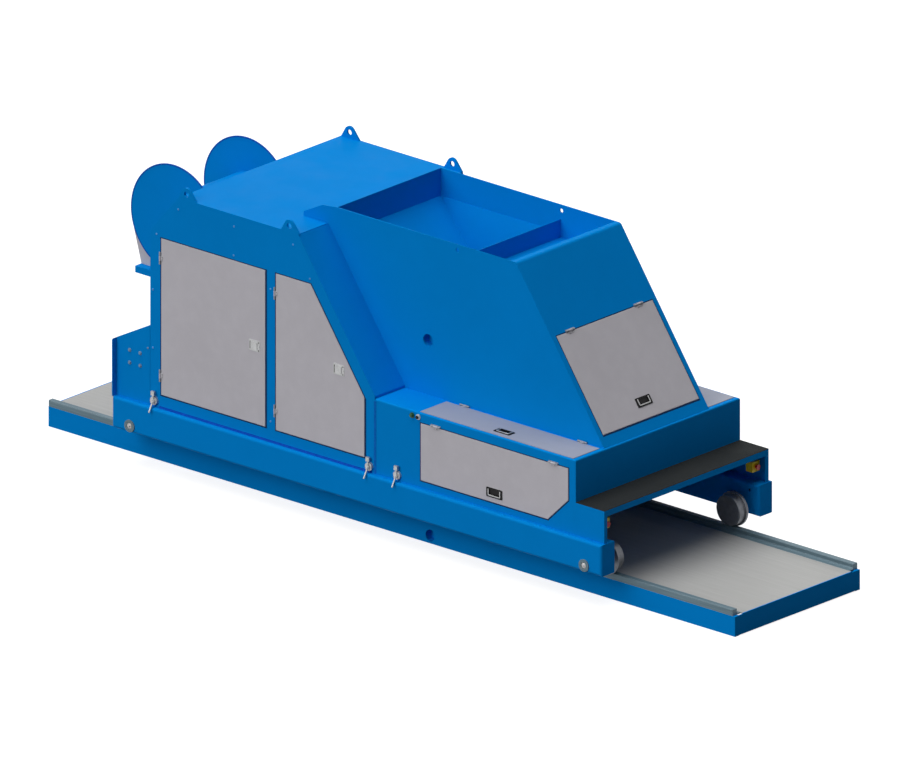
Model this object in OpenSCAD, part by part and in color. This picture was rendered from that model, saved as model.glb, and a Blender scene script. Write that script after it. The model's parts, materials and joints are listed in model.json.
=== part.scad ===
// Hollow-core slab extruder standing on a section of its casting bed.
// Millimetres. +X runs along the bed towards the step, +Z is up, the origin is under the middle of the bed.
// The right side is -Y. Most pieces are drawn for the right side and mirrored.

/* [Casting bed] */
// Length of the bed section
bed_l = 6416; // [5800:8:9000]
// Width over the bed's side channels
bed_w = 1300; // [1240:10:1340]
// Height of the side channels
bed_h = 148; // [120:2:180]
// Wall of the side channels and end plates
bed_t = 8; // [6:1:12]
// Width of the channel flanges
bed_flange = 45; // [35:1:60]
// Thickness of the deck plate
deck_t = 6; // [4:1:8]
// Height of a rail over its channel
rail_h = 47; // [35:1:60]
// Width of a rail's running head
rail_head = 45; // [35:1:60]
// Width of a rail's foot
rail_foot = 84; // [70:1:110]
// Thickness of a rail's foot
rail_foot_t = 10; // [8:1:14]
// Distance of the rails' front ends from the bed end
rail_setback = 24; // [10:1:40]
// Number of cross members under the deck
bed_ribs = 9; // [5:1:15]
// Thickness of a cross member
bed_rib_t = 10; // [8:1:16]
// Distance of the first cross member from the bed end
rib_margin = 300; // [150:10:400]
// Inner radius of the pipe socket in the right channel
socket_r = 43; // [30:1:45]
// Place of the pipe socket along the bed
socket_x = 360; // [-400:1:420]

/* [Chassis] */
// Clear distance between the bed side and a chassis beam
beam_offset = 95; // [85:1:110]
// Width of a chassis beam
beam_w = 150; // [130:1:160]
// Height of a chassis beam
beam_h = 232; // [200:1:260]
// Wall of a chassis beam
beam_t = 8; // [6:1:12]
// Edge radius of a chassis beam
beam_r = 20; // [12:1:24]
// Gap between the rail head and the chassis beams
beam_gap = 63; // [50:1:90]
// Rear end of the chassis
frame_rear = -2396; // [-2480:2:-2370]
// Front end of the chassis
frame_front = 2178; // [2172:1:2260]
// Height of the cross members
cross_h = 60; // [40:1:64]
// Width of the cross members
cross_w = 80; // [60:1:100]
// Wall of the cross members
cross_t = 6; // [4:1:8]
// Thickness of the belly plate
belly_t = 6; // [5:1:10]

/* [Wheels] */
// Diameter of a wheel
wheel_d = 225; // [200:1:230]
// Width of a wheel's tread
wheel_w = 55; // [45:1:60]
// Height of a wheel's flange over its tread
flange_h = 14; // [8:1:18]
// Width of a wheel's flange
flange_w = 22; // [15:1:30]
// Place of the front axles
axle_front = 2018; // [1960:1:2040]
// Place of the rear axles
axle_rear = -2228; // [-2240:1:-2200]
// Radius of an axle
axle_r = 25; // [18:1:28]
// Radial clearance of an axle in its bearing
axle_fit = 0.08; // [0.05:0.01:0.1]
// Gap between wheel and rail
run_gap = 0.3; // [0.2:0.1:0.5]

/* [Body] */
// Width of the ledge that the chassis beams show beside the body
ledge = 40; // [25:1:60]
// Depth of the cabinets and lockers beside the middle
cab_depth = 310; // [280:2:340]
// Thickness of the skins and locker sheets
skin_t = 5; // [3:1:6]
// Thickness of the middle side walls
wall_t = 8; // [5:1:10]
// Thickness of the cabinet casings
casing_t = 5; // [3:1:6]
// Slope of the hopper front and of the cabinet front
slope = 55; // [53:1:57]
// Height of the roof below the hopper rim
roof_drop = 136; // [110:1:160]
// Thickness of the roof
roof_t = 6; // [4:1:8]
// Rear end of the cabinets
cab_rear = -2073; // [-2090:1:-2060]
// Front end of the cabinet skins
cab_front = 27; // [20:1:28]
// Rear edge of the roof
roof_rear = -1812; // [-1840:1:-1790]
// Front edge of the roof
roof_front = -690; // [-705:1:-680]
// Height of the chamfer between the roof and the cabinets' rear edge
chamfer_h = 297; // [240:1:310]

/* [Hopper] */
// Height of the hopper rim
rim_z = 2223; // [2190:1:2260]
// Rear wall of the hopper
hopper_rear = -612; // [-640:1:-580]
// Depth of the hopper's upright part
fold_drop = 206; // [180:1:230]
// Sheet of the hopper
hopper_t = 6; // [4:1:8]
// Rear edge of the throat
throat_rear = 265; // [230:1:300]
// Front edge of the throat
throat_front = 500; // [480:1:520]
// Width of the throat
throat_w = 640; // [560:1:700]
// Height where the funnel meets the throat
throat_z = 1250; // [1200:1:1300]
// Depth of the divider plate's top below the rim
divider_drop = 108; // [70:1:140]
// Depth of the floor strip in front of the divider below the rim
strip_drop = 243; // [225:1:260]
// Radius of the folded top edge of the front
lip_r = 30; // [15:1:40]
// Length of the folded top edge
lip_l = 46; // [40:1:60]

/* [Lockers and step] */
// Height of the locker tops
deck_z = 1045; // [1030:1:1060]
// Plane of the front panel
front_x = 1904; // [1890:1:1920]
// Edge radius of the front panel and lockers
fold_r = 12; // [6:1:14]
// Rear end of the lockers
locker_rear = 30; // [29:1:36]
// Height of the step tread
step_z = 735; // [715:1:760]
// Length of the step in front of the lockers
step_l = 267; // [246:1:272]
// Height of the step's folded front edge
step_lip = 47; // [35:1:60]
// Thickness of the black tread
tread_t = 4; // [3:1:6]
// Width of the front flange of the step's side walls
step_flange = 30; // [20:1:40]

/* [Doors and lids] */
// Gap around a door or lid
door_gap = 4; // [3:0.5:6]
// How far a door stands out of its skin
door_proud = 2; // [1:0.5:3]
// Depth of a door's folded edge
pan_d = 22; // [18:1:26]
// Sheet of a door
pan_t = 3; // [2:0.5:4]
// Lower edge of the cabinet doors
door_z0 = 590; // [570:1:610]
// Height of the cabinets' rear edge over the doors
door_drop = 43; // [30:1:60]
// Rear edge of the rear doors
door1_x0 = -1968; // [-1980:1:-1950]
// Front edge of the rear doors
door1_x1 = -998; // [-1010:1:-990]
// Rear edge of the front doors
door2_x0 = -897; // [-904:1:-880]
// Front edge of the front doors
door2_x1 = -71; // [-90:1:-60]
// Distance of a front door's sloped edge from the cabinet front, along the machine
door2_inset = 122.6; // [100:0.2:150]
// Length of a door hinge
hinge_l = 88; // [70:1:110]
// Radius of a hinge knuckle
knuckle_r = 6.5; // [5:0.5:7]
// Radius of a hinge pin
pin_r = 3; // [2:0.5:3.5]

/* [Cable reel] */
// Radius of the reel discs
reel_r = 400; // [360:1:404]
// Height of the reel axis below the roof
reel_drop = 403; // [380:1:415]
// Place of the reel axis
reel_x = -2276; // [-2300:1:-2240]
// Width over the reel discs
reel_w = 762; // [700:2:776]
// Radius of the reel core
core_r = 150; // [100:1:200]
// Radius of the reel shaft
shaft_r = 20; // [15:1:25]
// Height of the reel axis over its shelf
reel_rise = 414; // [410:1:440]
// How far the reel shelf reaches behind the reel axis
shelf_back = 334; // [324:1:364]
// Width of the reel shelf
shelf_w = 828; // [810:2:860]
// Thickness of the reel shelf
shelf_h = 49; // [40:1:60]

/* [Hidden] */
$fn = 48;
cut = 1;
bed_half = bed_w / 2;
socket_z = bed_h / 2 - 16;
rail_z = bed_h + rail_h;
beam_z0 = rail_z + beam_gap;
beam_z1 = beam_z0 + beam_h;
beam_in = bed_half + beam_offset;
frame_half = beam_in + beam_w;
wheel_r = wheel_d / 2;
axle_z = rail_z + run_gap + wheel_r;
flange_in = bed_half + 5;
flange_out = flange_in + flange_w;
flange_r = wheel_r + flange_h;
wheel_edge = 6;
hub_r = 45;
sleeve_r = 32;
sleeve_fit = 0.3;
ring_r = 45;
ring_t = 8;
collar_t = 5;
belly_z = beam_z1 + belly_t;
body_half = frame_half - ledge;
core_half = body_half - cab_depth;
core_in = core_half - wall_t;
cab_in = body_half - skin_t;
roof_z = rim_z - roof_drop;
roof_under = roof_z - roof_t;
cab_edge_z = roof_z - chamfer_h;
fold_z = rim_z - fold_drop;
divider_z = rim_z - divider_drop;
strip_z = rim_z - strip_drop;
door_z1 = cab_edge_z - door_drop;
door2_z = roof_z - (door2_x1 + door2_inset - roof_front) * tan(slope);
reel_z = roof_z - reel_drop;
shelf_z = reel_z - reel_rise;
slope_foot = front_x - fold_r;
slope_top = slope_foot - (rim_z - deck_z) / tan(slope);
slope_n = [sin(slope), 0, cos(slope)];
slope_down = [cos(slope), 0, -sin(slope)];
slope_t = 6;
slope_edge = slope_t / sin(slope);
slope_len = (rim_z - deck_z) / sin(slope);
lip_leg = lip_r / tan(90 - slope / 2);
front_t = belly_t;
front_lip = 24;
locker_front = front_x - front_lip;
keel_x = front_x - 108;
keel_z = beam_z1 + 66;
keel_lap = 20;
front_cut = keel_z + 8;
cab_front_z = roof_z - (cab_front - roof_front) * tan(slope);
cab_foot = roof_front + (roof_z - belly_z) / tan(slope);
step_front = front_x + step_l;
stop_size = [60, 75, 75];
stop_x = step_front - 51;
stop_y = body_half - 75;
stop_z = beam_z1 + 120;
door_y = body_half + door_proud;
hinge_h = knuckle_r + 0.5;
hinge_back = 9;
hinge_leaf = 3;
hinge_foot = 11;
pin_fit = 0.08;

blue = [0.02, 0.36, 0.68];
grey = [0.62, 0.61, 0.63];
steel = [0.55, 0.57, 0.60];
black = [0.12, 0.12, 0.13];

// Unit vector, and the vector a quarter turn to the left
function unit(v) = v / norm(v);
function left(v) = [-v[1], v[0]];
// A closed anticlockwise outline moved inwards by d
function inset(p, d) = [
    for (i = [0 : len(p) - 1])
        let (a = left(unit(p[i] - p[(i + len(p) - 1) % len(p)])), b = left(unit(p[(i + 1) % len(p)] - p[i])))
            p[i] + d * (a + b) / (1 + a * b)
];
// An open path moved to its left by d
function shifted(p, d) = [
    for (i = [0 : len(p) - 1])
        let (a = left(unit(p[max(i, 1)] - p[max(i, 1) - 1])),
             b = left(unit(p[min(i + 1, len(p) - 1)] - p[min(i, len(p) - 2)])))
            p[i] + d * (a + b) / (1 + a * b)
];
function reversed(p) = [for (i = [len(p) - 1 : -1 : 0]) p[i]];
// Points of an arc about c from angle a0 to a1
function arc(c, r, a0, a1, n = 6) = [
    for (i = [0 : n]) c + r * [cos(a0 + (a1 - a0) * i / n), sin(a0 + (a1 - a0) * i / n)]
];
function box_points(lo, hi) = [lo, [hi[0], lo[1]], hi, [lo[0], hi[1]]];

// A folded sheet: the path is one face and the thickness lies to its left
module sheet(path, t) polygon(concat(path, reversed(shifted(path, t))));

module rounded(lo, hi, r) {
    translate([lo[0] + r, lo[1]]) square([hi[0] - lo[0] - 2 * r, hi[1] - lo[1]]);
    translate([lo[0], lo[1] + r]) square([hi[0] - lo[0], hi[1] - lo[1] - 2 * r]);
    for (x = [lo[0] + r, hi[0] - r]) for (y = [lo[1] + r, hi[1] - r]) translate([x, y]) circle(r);
}

// Profiles in the X-Z and Y-Z planes, and a box from corner to corner
module xz(y0, y1) translate([0, y1, 0]) rotate([90, 0, 0]) linear_extrude(y1 - y0) children();
module yz(x0, x1) translate([x0, 0, 0]) rotate([90, 0, 90]) linear_extrude(x1 - x0) children();
module block(lo, hi) translate(lo) cube(hi - lo);
module rod_y(x, z, r, y0, y1) translate([x, y1, z]) rotate([90, 0, 0]) cylinder(r = r, h = y1 - y0);
module both_sides() {
    children();
    mirror([0, 1, 0]) children();
}
// Moves a local frame to origin o with its x and y axes along x and y
module place(o, x, y) {
    z = cross(x, y);
    multmatrix([[x[0], y[0], z[0], o[0]], [x[1], y[1], z[1], o[1]], [x[2], y[2], z[2], o[2]], [0, 0, 0, 1]])
        children();
}

// Casting bed

module bed_channel() {
    w = -bed_half;
    difference() {
        yz(-bed_l / 2, bed_l / 2)
            sheet([[w + bed_flange, bed_h], [w, bed_h], [w, 0], [w + bed_flange, 0]], bed_t);
        for (s = [-1, 1])
            translate([s * bed_l / 2, w + bed_t + bed_flange / 2, bed_h])
                cube([2 * bed_t, bed_flange, 2 * bed_t + cut], center = true);
    }
}

module bed_side_beams() color(blue) {
    wall = 4;
    depth = 60;
    difference() {
        union() {
            bed_channel();
            rod_y(socket_x, socket_z, socket_r + wall, -bed_half + bed_t / 2, -bed_half + depth);
        }
        rod_y(socket_x, socket_z, socket_r, -bed_half - cut, -bed_half + depth - wall);
    }
    mirror([0, 1, 0]) bed_channel();
}

module bed_end_plates() color(blue) {
    web = bed_half - bed_t;
    deck = bed_half - rail_foot;
    tip = bed_half - bed_flange - 2;
    foot = 3;
    for (x = [-bed_l / 2, bed_l / 2 - bed_t])
        yz(x, x + bed_t)
            polygon([
                [-tip, foot], [tip, foot], [tip, bed_t + 2], [web, bed_t + 2], [web, bed_h], [deck, bed_h],
                [deck, bed_h + deck_t], [-deck, bed_h + deck_t], [-deck, bed_h], [-web, bed_h],
                [-web, bed_t + 2], [-tip, bed_t + 2]
            ]);
}

module bed_cross_members() color(blue) {
    web = bed_half - bed_t;
    tip = bed_half - bed_flange;
    foot = 2.5 * bed_t;
    pitch = (bed_l - 2 * rib_margin) / (bed_ribs - 1);
    for (i = [0 : bed_ribs - 1])
        translate([-bed_l / 2 + rib_margin + i * pitch, 0, 0]) yz(-bed_rib_t / 2, bed_rib_t / 2)
            polygon([
                [-web, foot], [web, foot], [web, bed_h - bed_t], [tip, bed_h - bed_t], [tip, bed_h],
                [-tip, bed_h], [-tip, bed_h - bed_t], [-web, bed_h - bed_t]
            ]);
}

module bed_deck() color([0.68, 0.68, 0.67])
    block([-bed_l / 2 + bed_t, -bed_half + rail_foot, bed_h], [bed_l / 2 - bed_t, bed_half - rail_foot, bed_h + deck_t]);

module rails() color(steel) both_sides()
    yz(-bed_l / 2 + 2, bed_l / 2 - rail_setback) {
        w = -bed_half;
        edge = 4;
        web = 8;
        polygon([
            [w, bed_h], [w + rail_foot, bed_h], [w + rail_foot, bed_h + rail_foot_t - 3],
            [w + rail_head + web, bed_h + rail_foot_t], [w + rail_head, bed_h + rail_foot_t + web],
            [w + rail_head, rail_z - edge], [w + rail_head - edge, rail_z], [w + edge, rail_z], [w, rail_z - edge]
        ]);
    }

// Chassis

module frame_beams() color(blue) both_sides() {
    lo = [frame_rear, -frame_half];
    hi = [frame_front, -beam_in];
    difference() {
        intersection() {
            yz(frame_rear, frame_front) rounded([lo[1], beam_z0], [hi[1], beam_z1], beam_r);
            translate([0, 0, beam_z0]) linear_extrude(beam_h) rounded(lo, hi, beam_r);
        }
        block([lo[0] + beam_t, lo[1] + beam_t, beam_z0 + beam_t], [hi[0] - beam_t, hi[1] - beam_t, beam_z1 - beam_t]);
        for (x = [axle_front, axle_rear])
            rod_y(x, axle_z, sleeve_r + sleeve_fit, lo[1] - cut, hi[1] + cut);
        rod_y(frame_front - 88, beam_z1 - 52, 12.5, hi[1] - beam_t - cut, hi[1] + cut);
    }
}

module frame_cross_members() color(blue)
    for (x = [frame_rear, roof_front - 500, throat_front + 120, throat_front + 1040])
        difference() {
            block([x, -beam_in, beam_z1 - cross_h], [x + cross_w, beam_in, beam_z1]);
            block([x + cross_t, -beam_in - cut, beam_z1 - cross_h + cross_t],
                  [x + cross_w - cross_t, beam_in + cut, beam_z1 - cross_t]);
        }

module belly_plate() color(blue)
    difference() {
        block([cab_rear, -cab_in, beam_z1], [keel_x - keel_lap, cab_in, belly_z]);
        block([throat_rear, -throat_w / 2, beam_z1 - cut], [throat_front, throat_w / 2, belly_z + cut]);
    }

module axle_bearings() color(steel) both_sides()
    for (x = [axle_front, axle_rear])
        difference() {
            union() {
                rod_y(x, axle_z, sleeve_r, -frame_half - ring_t, -beam_in + collar_t);
                rod_y(x, axle_z, ring_r, -frame_half - ring_t, -frame_half);
                rod_y(x, axle_z, ring_r, -beam_in, -beam_in + collar_t);
            }
            rod_y(x, axle_z, axle_r + axle_fit, -frame_half - ring_t - cut, -beam_in + collar_t + cut);
        }

// Wheel of the right side with its hub and axle, at the given axle place
module wheel(x) color([0.30, 0.31, 0.34]) {
    inner = flange_in - wheel_w;
    translate([x, 0, axle_z]) rotate([90, 0, 0]) rotate_extrude()
        polygon([
            [0, inner], [wheel_r - wheel_edge, inner], [wheel_r, inner + wheel_edge], [wheel_r, flange_in],
            [flange_r - wheel_edge / 2, flange_in], [flange_r, flange_in + wheel_edge / 2],
            [flange_r, flange_out - wheel_edge / 2], [flange_r - wheel_edge / 2, flange_out],
            [hub_r, flange_out], [hub_r, beam_in - collar_t - 2], [axle_r, beam_in - collar_t - 2],
            [axle_r, frame_half + ring_t - 4], [0, frame_half + ring_t - 4]
        ]);
}

module wheel_front_right() wheel(axle_front);
module wheel_front_left() mirror([0, 1, 0]) wheel(axle_front);
module wheel_rear_right() wheel(axle_rear);
module wheel_rear_left() mirror([0, 1, 0]) wheel(axle_rear);

module rear_side_plates() color(blue) both_sides() {
    t = 8;
    r = 22;
    x0 = frame_rear;
    x1 = cab_rear - 2;
    z0 = 920;
    z1 = 1080;
    rise = atan2(z1 - z0, x1 - x0);
    intersection() {
        translate([0, 0, beam_z1]) linear_extrude(z1 - beam_z1)
            sheet([[x1, -body_half + t], [x0, -body_half + t], [x0, -frame_half]], t);
        xz(-frame_half, -body_half + t)
            polygon(concat([[x0, beam_z1], [x1, beam_z1], [x1, z1]], arc([x0 + r, z0 - r], r, 90 + rise, 180)));
    }
}

module guide_shoes() color(blue) both_sides()
    xz(-beam_in - beam_r - 12, -beam_in - beam_r)
        polygon([
            [roof_front - 180, beam_z0], [roof_front - 150, beam_z0 - 58],
            [roof_front + 160, beam_z0 - 58], [roof_front + 190, beam_z0]
        ]);

// Lever clamps on the ledge of the chassis beams
module frame_clamps() color([0.75, 0.75, 0.76]) both_sides()
    for (x = [cab_rear + 45, cab_front - 47, locker_rear + 214]) {
        z = beam_z1 + 46;
        rod_y(x, z, 31, -body_half - 18, -body_half);
        rod_y(x, z, 14, -body_half - 30, -body_half - 18);
        translate([x, -body_half - 22, z]) {
            cylinder(r = 6, h = 50);
            translate([-15, -8, 40]) cube([30, 16, 32]);
            rotate([151, 0, 0]) cylinder(r = 6, h = 88);
        }
    }

// Cabinets

door1_pts = box_points([door1_x0, door_z0], [door1_x1, door_z1]);
door2_pts = [
    [door2_x0, door_z0], [door2_x1, door_z0], [door2_x1, door2_z],
    [door2_x1 - (door_z1 - door2_z) / tan(slope), door_z1], [door2_x0, door_z1]
];
skin_pts = [
    [cab_rear, beam_z1], [cab_front, beam_z1], [cab_front, cab_front_z],
    [roof_front, roof_z], [roof_rear, roof_z], [cab_rear, cab_edge_z]
];
casing_pts = [
    [cab_rear, belly_z], [cab_front, belly_z], [cab_front, cab_front_z],
    [roof_front + roof_t / tan(slope), roof_under],
    [roof_rear - roof_t * (roof_rear - cab_rear) / (roof_z - cab_edge_z), roof_under], [cab_rear, cab_edge_z]
];
divider_x = (door1_x1 + door2_x0) / 2;

module cabinet_skins() color(blue) both_sides()
    xz(-body_half, -cab_in) difference() {
        polygon(skin_pts);
        polygon(inset(door1_pts, -door_gap));
        polygon(inset(door2_pts, -door_gap));
    }

module cabinet_casings() color(blue) both_sides() {
    xz(-cab_in, -core_half) difference() {
        polygon(casing_pts);
        polygon(inset(casing_pts, casing_t));
    }
    block([divider_x - casing_t / 2, -cab_in, belly_z + casing_t],
          [divider_x + casing_t / 2, -core_half, roof_under - casing_t]);
}

// Outer faces of the front panel and of the sloped panel, and their inner faces
front_path = concat([[locker_front, deck_z]], arc([front_x - fold_r, deck_z - fold_r], fold_r, 90, 0),
                    [[front_x, keel_z], [keel_x, beam_z1], [keel_x - keel_lap, beam_z1]]);
front_under = shifted(front_path, -front_t);
slope_path = concat([[slope_top - lip_l, rim_z]], arc([slope_top - lip_leg, rim_z - lip_r], lip_r, 90, 90 - slope),
                    [[slope_foot + 20, deck_z - 20 * tan(slope)]]);
slope_under = shifted(slope_path, -slope_t);

module side_walls() color(blue) both_sides()
    xz(-core_half, -core_in) difference() {
        polygon([
            [cab_rear, belly_z], each reversed(front_under), [locker_front, deck_z], [slope_foot - slope_edge, deck_z],
            for (i = [len(slope_under) - 2 : -1 : 0]) slope_under[i],
            [slope_top - lip_l, rim_z], [hopper_rear, rim_z], [hopper_rear - 128, rim_z - 13],
            [hopper_rear - 306, rim_z - 103], [hopper_rear - 306, roof_z], [roof_front, roof_z], [roof_front, roof_under],
            [roof_rear - roof_t * (roof_rear - cab_rear) / (roof_z - cab_edge_z), roof_under], [cab_rear, cab_edge_z]
        ]);
        translate([throat_front + 20, rim_z - 43]) circle(15);
        translate([throat_rear - 20, throat_z + 197]) circle(45);
    }

module roof() color(blue)
    translate([0, 0, roof_under]) linear_extrude(roof_t)
        polygon([
            [roof_rear, -cab_in], [roof_front, -cab_in], [roof_front, -core_in], [hopper_rear, -core_in],
            [hopper_rear, core_in], [roof_front, core_in], [roof_front, cab_in], [roof_rear, cab_in]
        ]);

module rear_wall() color(blue)
    xz(-core_in, core_in)
        sheet([[cab_rear, belly_z], [cab_rear, shelf_z], [roof_rear, shelf_z], [roof_rear, roof_under]], -wall_t);

module lifting_lugs() color(blue) both_sides() {
    rear = 78;
    fore = 92;
    rise = 42;
    r = 45;
    a = acos(r / norm([fore, rise])) - atan2(rise, fore);
    b = acos(r / norm([rear, rise])) - atan2(rise, rear);
    for (x = [roof_rear + rear, roof_front - 84])
        translate([x, 0, roof_z]) xz(-body_half, -body_half + 15) difference() {
            union() {
                polygon([[-rear, 0], [fore, 0], [r * cos(a), rise + r * sin(a)], [-r * cos(b), rise + r * sin(b)]]);
                intersection() {
                    translate([0, rise]) circle(r);
                    translate([-r, 0]) square([2 * r, rise + r]);
                }
            }
            translate([0, rise]) circle(21);
        }
}

// Hopper

module hopper_shell() color(blue) {
    fall = [throat_rear - hopper_rear, throat_z - fold_z];
    lean = hopper_t / cos(atan2(fall[0], -fall[1]));
    side = (core_in - hopper_t - throat_w / 2) / (fold_z - throat_z);
    difference() {
        union() {
            intersection() {
                xz(-core_in, core_in) polygon([
                    [hopper_rear, fold_z], [throat_rear - hopper_t, throat_z], [throat_rear - hopper_t, belly_z],
                    [throat_front + hopper_t, belly_z], [throat_front + hopper_t, fold_z]
                ]);
                yz(hopper_rear, throat_front + hopper_t) polygon([
                    [-throat_w / 2 - hopper_t, belly_z], [throat_w / 2 + hopper_t, belly_z],
                    [throat_w / 2 + hopper_t, throat_z], [core_in, fold_z], [-core_in, fold_z],
                    [-throat_w / 2 - hopper_t, throat_z]
                ]);
            }
            block([hopper_rear, -core_in, fold_z - cut], [hopper_rear + hopper_t, core_in, rim_z]);
        }
        intersection() {
            xz(-core_in, core_in) polygon([
                [hopper_rear + hopper_t, rim_z + cut], [hopper_rear + hopper_t, fold_z + lean - hopper_t],
                [throat_rear, throat_z + lean - hopper_t],
                [throat_rear, belly_z - cut], [throat_front, belly_z - cut], [throat_front, rim_z + cut]
            ]);
            yz(hopper_rear, throat_front + hopper_t) polygon([
                [-throat_w / 2, belly_z - cut], [throat_w / 2, belly_z - cut], [throat_w / 2, throat_z],
                [core_in - hopper_t, fold_z], [core_in - hopper_t, fold_z + cut], [core_in, fold_z + cut],
                [core_in, rim_z + cut], [-core_in, rim_z + cut], [-core_in, fold_z + cut],
                [-core_in + hopper_t, fold_z + cut], [-core_in + hopper_t, fold_z], [-throat_w / 2, throat_z]
            ]);
        }
    }
}

module hopper_divider() color(blue) {
    x0 = throat_front + hopper_t;
    x1 = slope_foot - (strip_z - deck_z) / tan(slope) - slope_edge;
    xz(-core_in, core_in) sheet([[x0, divider_z], [x0, strip_z - hopper_t], [x1, strip_z - hopper_t]], hopper_t);
}

hatch_bottom = slope_len - 92;
hatch_top = hatch_bottom - 761;
hatch_half = core_half - 47.5;
hatch_pts = box_points([-hatch_half, -hatch_bottom], [hatch_half, -hatch_top]);

// Frame on the slope: x across the machine, y inwards, z up the slope, origin at the sharp top corner
module on_slope() place([slope_top, 0, rim_z], [0, 1, 0], -slope_n) children();

module slope_panel() color(blue)
    difference() {
        intersection() {
            xz(-core_half, core_half) sheet(slope_path, -slope_t);
            block([0, -core_half, deck_z], [front_x, core_half, rim_z]);
        }
        on_slope() xz(-cut, slope_t + cut) polygon(inset(hatch_pts, -door_gap));
    }

// Lockers and step

lid_x0 = locker_rear + 405;
lid_x1 = front_x - 38;
lid_y0 = core_half + 21;
lid_y1 = body_half - 17;
side_x0 = locker_rear + 427;
side_x1 = front_x - 70;
side_z0 = beam_z1 + 58;
side_z1 = deck_z - 77;
lid_pts = box_points([lid_x0, -lid_y1], [lid_x1, -lid_y0]);
side_pts = [[side_x0, side_z0], [side_x1 - 191, side_z0], [side_x1, side_z0 + 185], [side_x1, side_z1], [side_x0, side_z1]];

side_fold = arc([-body_half + fold_r, deck_z - fold_r], fold_r, 90, 180);

module lockers() color(blue) both_sides()
    difference() {
        union() {
            intersection() {
                yz(locker_rear, front_x) sheet(concat([[-core_half, deck_z]], side_fold, [[-body_half, beam_z1]]), skin_t);
                xz(-body_half, -core_half) polygon([
                    [locker_rear, beam_z1], [front_x, beam_z1], [front_x, front_cut], [front_x - front_t, front_cut],
                    for (i = [len(front_under) - 4 : -1 : 0]) front_under[i],
                    [locker_front, deck_z], [locker_rear, deck_z]
                ]);
            }
            block([locker_rear, -cab_in, belly_z], [locker_rear + skin_t, -core_half, deck_z - skin_t]);
        }
        xz(-body_half - cut, -cab_in + cut) polygon(inset(side_pts, -door_gap));
        translate([0, 0, deck_z - skin_t - cut]) linear_extrude(skin_t + 2 * cut) polygon(inset(lid_pts, -door_gap));
    }

module push_buttons() color(steel) both_sides()
    for (x = [side_x0 - 80, side_x0 - 23]) {
        rod_y(x, deck_z - 35, 20, -body_half - 6, -body_half);
        rod_y(x, deck_z - 35, 14, -body_half - 16, -body_half - 6);
    }

module front_panel() color(blue)
    intersection() {
        xz(-body_half, body_half) sheet(front_path, -front_t);
        yz(keel_x - keel_lap, front_x) polygon([
            each side_fold, [-body_half, front_cut], [-cab_in, front_cut], [-cab_in, beam_z1],
            [cab_in, beam_z1], [cab_in, front_cut], [body_half, front_cut],
            for (q = reversed(side_fold)) [-q[0], q[1]]
        ]);
    }

module step() color(blue) {
    t = 6;
    plate_z = step_z - tread_t;
    xz(-body_half, body_half)
        sheet([[front_x, plate_z], [step_front, plate_z], [step_front, step_z - step_lip]], -t);
    both_sides() {
        translate([0, 0, beam_z1]) linear_extrude(plate_z - beam_z1)
            sheet([[front_x, -body_half], [step_front, -body_half], [step_front, -body_half + step_flange]], t);
        block([stop_x - stop_size[0] - t, -body_half, stop_z - stop_size[2] / 2],
              [stop_x - stop_size[0], -stop_y + stop_size[1] / 2, stop_z + stop_size[2] / 2]);
    }
}

module step_tread() color(black)
    block([front_x, -body_half, step_z - tread_t], [step_front, body_half, step_z]);

module stop_boxes() color([0.85, 0.75, 0.05]) both_sides()
    translate([stop_x - stop_size[0], -stop_y - stop_size[1] / 2, stop_z - stop_size[2] / 2]) cube(stop_size);

module stop_buttons() color([0.75, 0.05, 0.08]) both_sides()
    translate([stop_x, -stop_y, stop_z]) rotate([0, 90, 0]) {
        cylinder(r = 11, h = 14);
        translate([0, 0, 14]) cylinder(r = 20, h = 10);
    }

// Cable reel

reel_half = reel_w / 2;
shelf_rear = reel_x - shelf_back;
disc_t = 4;
core_wall = 5;
bracket_t = 12;
bracket_y = reel_half + 16;

module reel_shelf() color(blue) {
    t = 6;
    difference() {
        block([shelf_rear, -shelf_w / 2, shelf_z - shelf_h], [cab_rear, shelf_w / 2, shelf_z]);
        block([shelf_rear + t, -shelf_w / 2 + t, shelf_z - shelf_h - cut], [cab_rear - t, shelf_w / 2 - t, shelf_z - t]);
    }
    both_sides()
        xz(-bracket_y - bracket_t, -bracket_y) difference() {
            union() {
                polygon([
                    [reel_x - 100, shelf_z - t / 2], [reel_x + 100, shelf_z - t / 2],
                    [reel_x + 44, reel_z + 8], [reel_x - 44, reel_z + 8]
                ]);
                translate([reel_x, reel_z]) circle(45);
            }
            translate([reel_x, reel_z]) circle(shaft_r + axle_fit);
        }
}

module reel_guard() color(grey) {
    t = 3;
    half = reel_half - 30;
    foot = 0.83 * reel_r;
    top = 1.02 * reel_r;
    top_z = shelf_z + 270;
    p = [[reel_x - foot, shelf_z], [reel_x + foot, shelf_z], [reel_x + top, top_z], [reel_x - top, top_z]];
    difference() {
        xz(-half, half) polygon(p);
        intersection() {
            xz(-half + t, half - t) polygon(inset(p, t));
            block([reel_x - top - cut, -half, shelf_z + t], [reel_x + top + cut, half, top_z + cut]);
        }
        xz(-half + t, half - t) polygon([p[3] + [t + 1, -t - 1], p[2] + [-t - 1, -t - 1], p[2] + [-t - 1, cut], p[3] + [t + 1, cut]]);
        rod_y(reel_x, reel_z, reel_r + 8, -half - cut, half + cut);
    }
}

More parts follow.
